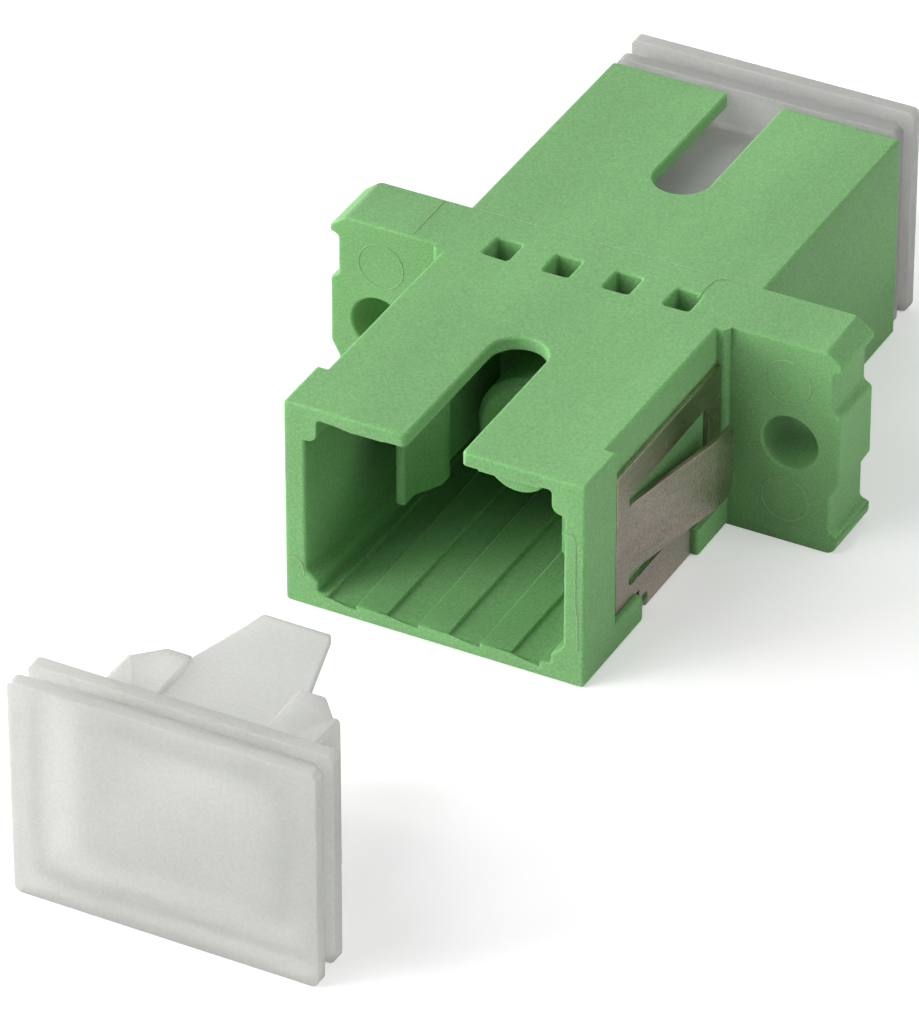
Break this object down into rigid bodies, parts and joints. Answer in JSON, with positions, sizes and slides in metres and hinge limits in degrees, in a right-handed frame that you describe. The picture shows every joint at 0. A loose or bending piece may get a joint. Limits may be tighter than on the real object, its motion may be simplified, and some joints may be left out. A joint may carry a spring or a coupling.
{
  "type": "sc fibre adapter",
  "caption": "Flanged panel adapter that joins square push-pull optical fibre plugs end to end, with latch holders, a split sleeve, a panel spring clip and pull-off dust caps.",
  "frame": {"origin": "middle of the alignment sleeve, on the optical axis, halfway through the flange", "axes": "+Y along the optical axis from the front port (clip side) to the rear port, +Z towards the side with the key slots, +X to the right seen from the front port"},
  "size_m": [0.022, 0.0502, 0.0095],
  "materials": {
    "green_housing": "satin",
    "green_holder": "satin",
    "white_ceramic": "polished",
    "spring_steel": "brushed",
    "translucent_cap": "translucent satin"
  },
  "bodies": {
    "adapter": {"housing": "green_housing", "front_latch_holder": "green_holder", "rear_latch_holder": "green_holder", "split_sleeve": "white_ceramic", "mounting_clip": "spring_steel"},
    "front_cap": {"front_dust_cap": "translucent_cap"},
    "rear_cap": {"rear_dust_cap": "translucent_cap"}
  },
  "joints": [
    {"name": "front_cap_pull", "type": "slide", "parent": "adapter", "child": "front_cap", "axis": [0, -1, 0], "range_m": [-0.01865, 0.01135]},
    {"name": "rear_cap_pull", "type": "slide", "parent": "adapter", "child": "rear_cap", "axis": [0, 1, 0], "range_m": [0, 0.03]}
  ]
}
